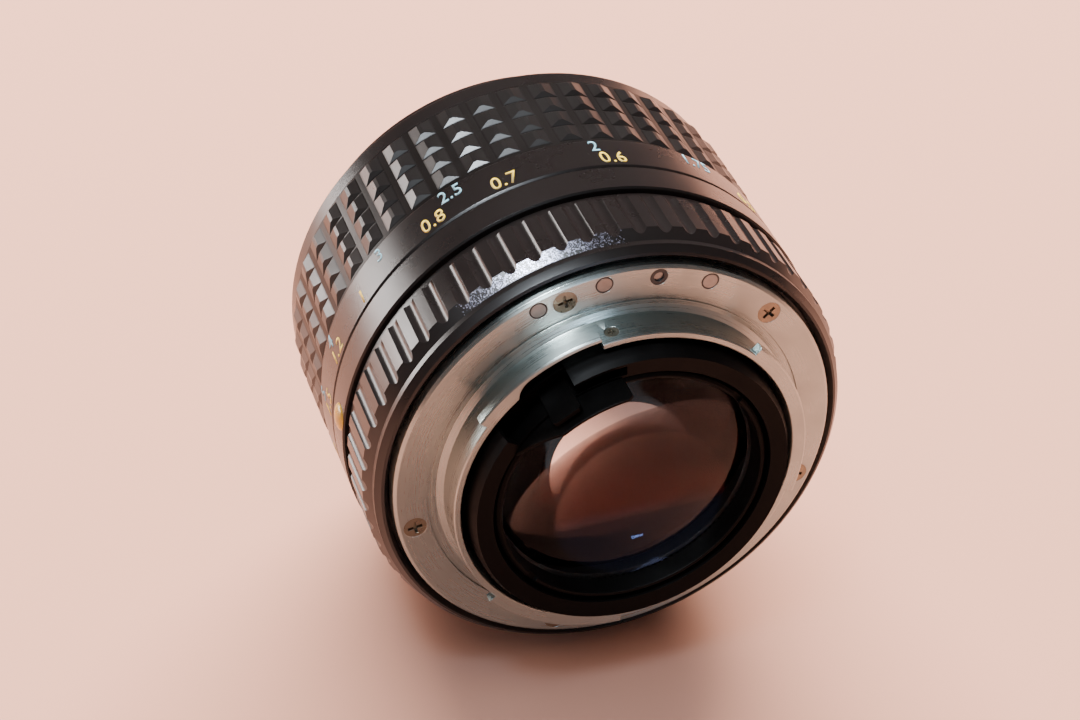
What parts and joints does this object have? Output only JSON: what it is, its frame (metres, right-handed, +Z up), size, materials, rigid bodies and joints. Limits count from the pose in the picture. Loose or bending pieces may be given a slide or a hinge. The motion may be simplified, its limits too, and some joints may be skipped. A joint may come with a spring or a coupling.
{
  "type": "prime camera lens",
  "caption": "Fast standard prime lens with a three-lug bayonet mount, click-stopped aperture ring, rubber-gripped focus ring and a bladed iris behind its front glass.",
  "frame": {"origin": "centre of the bayonet mount's flange face, on the optical axis", "axes": "+Y along the optical axis towards the front glass, +Z up as the lens lies or as it is mounted, +X to the right as seen from behind"},
  "size_m": [0.0653, 0.0592, 0.065],
  "materials": {
    "turned_steel": "turned satin",
    "screw_steel": "satin",
    "contact_metal": "polished",
    "spring_steel": "satin",
    "blade_steel": "matte",
    "black_finish": "black anodised, satin",
    "yellow_enamel": "matte",
    "blue_enamel": "matte",
    "white_enamel": "matte",
    "barrel_aluminium": "black anodised",
    "brass": "satin",
    "black_plastic": "satin",
    "yellow_plastic": "glossy",
    "grip_rubber": "matte",
    "optical_glass": "coated"
  },
  "bodies": {
    "housing": {"mount_flange": "turned_steel", "flange_screws": "screw_steel", "bayonet_screw": "screw_steel", "contact_discs": "contact_metal", "contact_bushes": "black_plastic", "auto_pin_spring": "spring_steel", "rear_shroud": "black_finish", "lever_guard": "black_finish", "shroud_screws": "screw_steel", "lever_spring": "spring_steel", "fixed_barrel": "barrel_aluminium", "guide_keys": "brass", "guide_key_screws": "screw_steel", "index_ring": "black_finish", "index_ring_screws": "screw_steel", "alignment_bead": "yellow_plastic", "detent_ball": "spring_steel", "detent_spring": "spring_steel"},
    "auto_pin": {"auto_contact_pin": "contact_metal"},
    "aperture_control": {"aperture_ring": "black_finish", "aperture_link_screw": "screw_steel", "aperture_cam_ring": "brass"},
    "lock_button": {"lock_button": "black_plastic", "lock_button_spring": "spring_steel"},
    "stop_down": {"stop_down_lever": "black_finish"},
    "focus_control": {"focus_ring": "black_finish", "focus_ring_screws": "screw_steel", "focus_helicoid": "brass", "focus_grip": "grip_rubber"},
    "carriage": {"lens_barrel": "barrel_aluminium", "filter_ring": "black_finish", "front_bezel": "black_finish", "front_cell": "barrel_aluminium", "front_retainer": "barrel_aluminium", "rear_cell": "black_finish", "rear_spacer": "barrel_aluminium", "inner_spacer": "barrel_aluminium", "rear_retainer": "black_finish", "iris_housing": "barrel_aluminium", "iris_cover": "barrel_aluminium", "lens_element_1": "optical_glass", "lens_element_2": "optical_glass", "lens_element_3": "optical_glass", "lens_element_4": "optical_glass", "lens_element_5": "optical_glass", "lens_element_6": "optical_glass", "lens_element_7": "optical_glass"},
    "iris_driver": {"iris_ring": "brass"},
    "blade_1": {"iris_blade_1": "blade_steel"},
    "blade_2": {"iris_blade_2": "blade_steel"},
    "blade_3": {"iris_blade_3": "blade_steel"},
    "blade_4": {"iris_blade_4": "blade_steel"},
    "blade_5": {"iris_blade_5": "blade_steel"},
    "blade_6": {"iris_blade_6": "blade_steel"},
    "blade_7": {"iris_blade_7": "blade_steel"},
    "blade_8": {"iris_blade_8": "blade_steel"},
    "blade_9": {"iris_blade_9": "blade_steel"}
  },
  "joints": [
    {"name": "aperture_turn", "type": "hinge", "parent": "housing", "child": "aperture_control", "pos_m": [0, 0, 0], "axis": [0, 1, 0], "range_deg": [0, 66]},
    {"name": "lock_press", "type": "slide", "parent": "aperture_control", "child": "lock_button", "axis": [-0.6293, 0, 0.7771], "range_m": [0, 0.0006], "stiffness_N_per_m": 200},
    {"name": "auto_pin_out", "type": "slide", "parent": "housing", "child": "auto_pin", "axis": [0, -1, 0], "range_m": [0, 0.0008], "stiffness_N_per_m": 100},
    {"name": "stop_down_swing", "type": "hinge", "parent": "housing", "child": "stop_down", "pos_m": [0, 0, 0], "axis": [0, 1, 0], "range_deg": [0, 18]},
    {"name": "focus_turn", "type": "hinge", "parent": "housing", "child": "focus_control", "pos_m": [0, 0, 0], "axis": [0, -1, 0], "range_deg": [0, 218]},
    {"name": "focus_travel", "type": "slide", "parent": "housing", "child": "carriage", "axis": [0, 1, 0], "range_m": [0, 0.0078]},
    {"name": "iris_driver_turn", "type": "hinge", "parent": "carriage", "child": "iris_driver", "pos_m": [0, 0, 0], "axis": [0, 1, 0], "range_deg": [0, 18]},
    {"name": "blade_1_turn", "type": "hinge", "parent": "carriage", "child": "blade_1", "pos_m": [0.02098, 0.0172, 0.0037], "axis": [0, 1, 0], "range_deg": [0, 36]},
    {"name": "blade_2_turn", "type": "hinge", "parent": "carriage", "child": "blade_2", "pos_m": [0.01369, 0.0172, 0.01632], "axis": [0, 1, 0], "range_deg": [0, 36]},
    {"name": "blade_3_turn", "type": "hinge", "parent": "carriage", "child": "blade_3", "pos_m": [0, 0.0172, 0.0213], "axis": [0, 1, 0], "range_deg": [0, 36]},
    {"name": "blade_4_turn", "type": "hinge", "parent": "carriage", "child": "blade_4", "pos_m": [-0.01369, 0.0172, 0.01632], "axis": [0, 1, 0], "range_deg": [0, 36]},
    {"name": "blade_5_turn", "type": "hinge", "parent": "carriage", "child": "blade_5", "pos_m": [-0.02098, 0.0172, 0.0037], "axis": [0, 1, 0], "range_deg": [0, 36]},
    {"name": "blade_6_turn", "type": "hinge", "parent": "carriage", "child": "blade_6", "pos_m": [-0.01845, 0.0172, -0.01065], "axis": [0, 1, 0], "range_deg": [0, 36]},
    {"name": "blade_7_turn", "type": "hinge", "parent": "carriage", "child": "blade_7", "pos_m": [-0.00728, 0.0172, -0.02002], "axis": [0, 1, 0], "range_deg": [0, 36]},
    {"name": "blade_8_turn", "type": "hinge", "parent": "carriage", "child": "blade_8", "pos_m": [0.00728, 0.0172, -0.02002], "axis": [0, 1, 0], "range_deg": [0, 36]},
    {"name": "blade_9_turn", "type": "hinge", "parent": "carriage", "child": "blade_9", "pos_m": [0.01845, 0.0172, -0.01065], "axis": [0, 1, 0], "range_deg": [0, 36]}
  ],
  "couplings": [
    {"joint": "stop_down_swing", "follows": "aperture_turn", "ratio": 0.27273},
    {"joint": "iris_driver_turn", "follows": "aperture_turn", "ratio": 0.27273},
    {"joint": "focus_travel", "follows": "focus_turn", "m_per_rad": 0.00205},
    {"joint": "blade_1_turn", "follows": "aperture_turn", "ratio": 0.54545},
    {"joint": "blade_2_turn", "follows": "aperture_turn", "ratio": 0.54545},
    {"joint": "blade_3_turn", "follows": "aperture_turn", "ratio": 0.54545},
    {"joint": "blade_4_turn", "follows": "aperture_turn", "ratio": 0.54545},
    {"joint": "blade_5_turn", "follows": "aperture_turn", "ratio": 0.54545},
    {"joint": "blade_6_turn", "follows": "aperture_turn", "ratio": 0.54545},
    {"joint": "blade_7_turn", "follows": "aperture_turn", "ratio": 0.54545},
    {"joint": "blade_8_turn", "follows": "aperture_turn", "ratio": 0.54545},
    {"joint": "blade_9_turn", "follows": "aperture_turn", "ratio": 0.54545}
  ]
}
